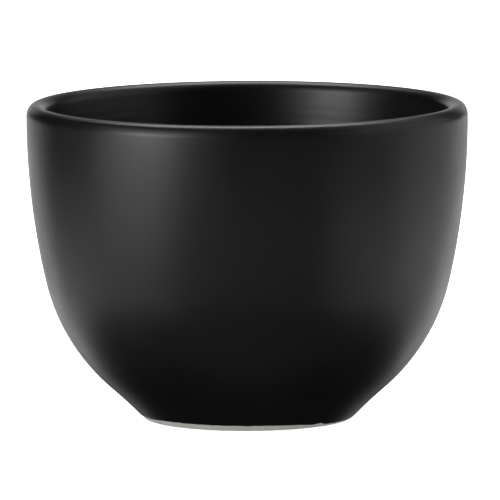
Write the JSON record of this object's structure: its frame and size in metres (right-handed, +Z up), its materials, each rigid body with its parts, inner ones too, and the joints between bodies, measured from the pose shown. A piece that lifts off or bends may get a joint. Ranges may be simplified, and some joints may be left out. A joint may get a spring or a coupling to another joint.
{
  "type": "sugar bowl",
  "caption": "Open round stoneware sugar bowl with a full belly, a thick rounded lip, a flared bare foot ring and a satin black glaze inside and out.",
  "frame": {"origin": "centre of the plane that the foot ring stands on", "axes": "+Z up along the axis the bowl was turned about; X and Y are equal, because the bowl is round"},
  "size_m": [0.085, 0.085, 0.061],
  "materials": {
    "bare_stoneware": "fired clay, turned and unglazed, fine dry grain",
    "black_glaze": "satin black glaze"
  },
  "bodies": {
    "root": {"stoneware_body": "bare_stoneware", "glaze_coat": "black_glaze", "recess_glaze": "black_glaze"}
  },
  "joints": []
}
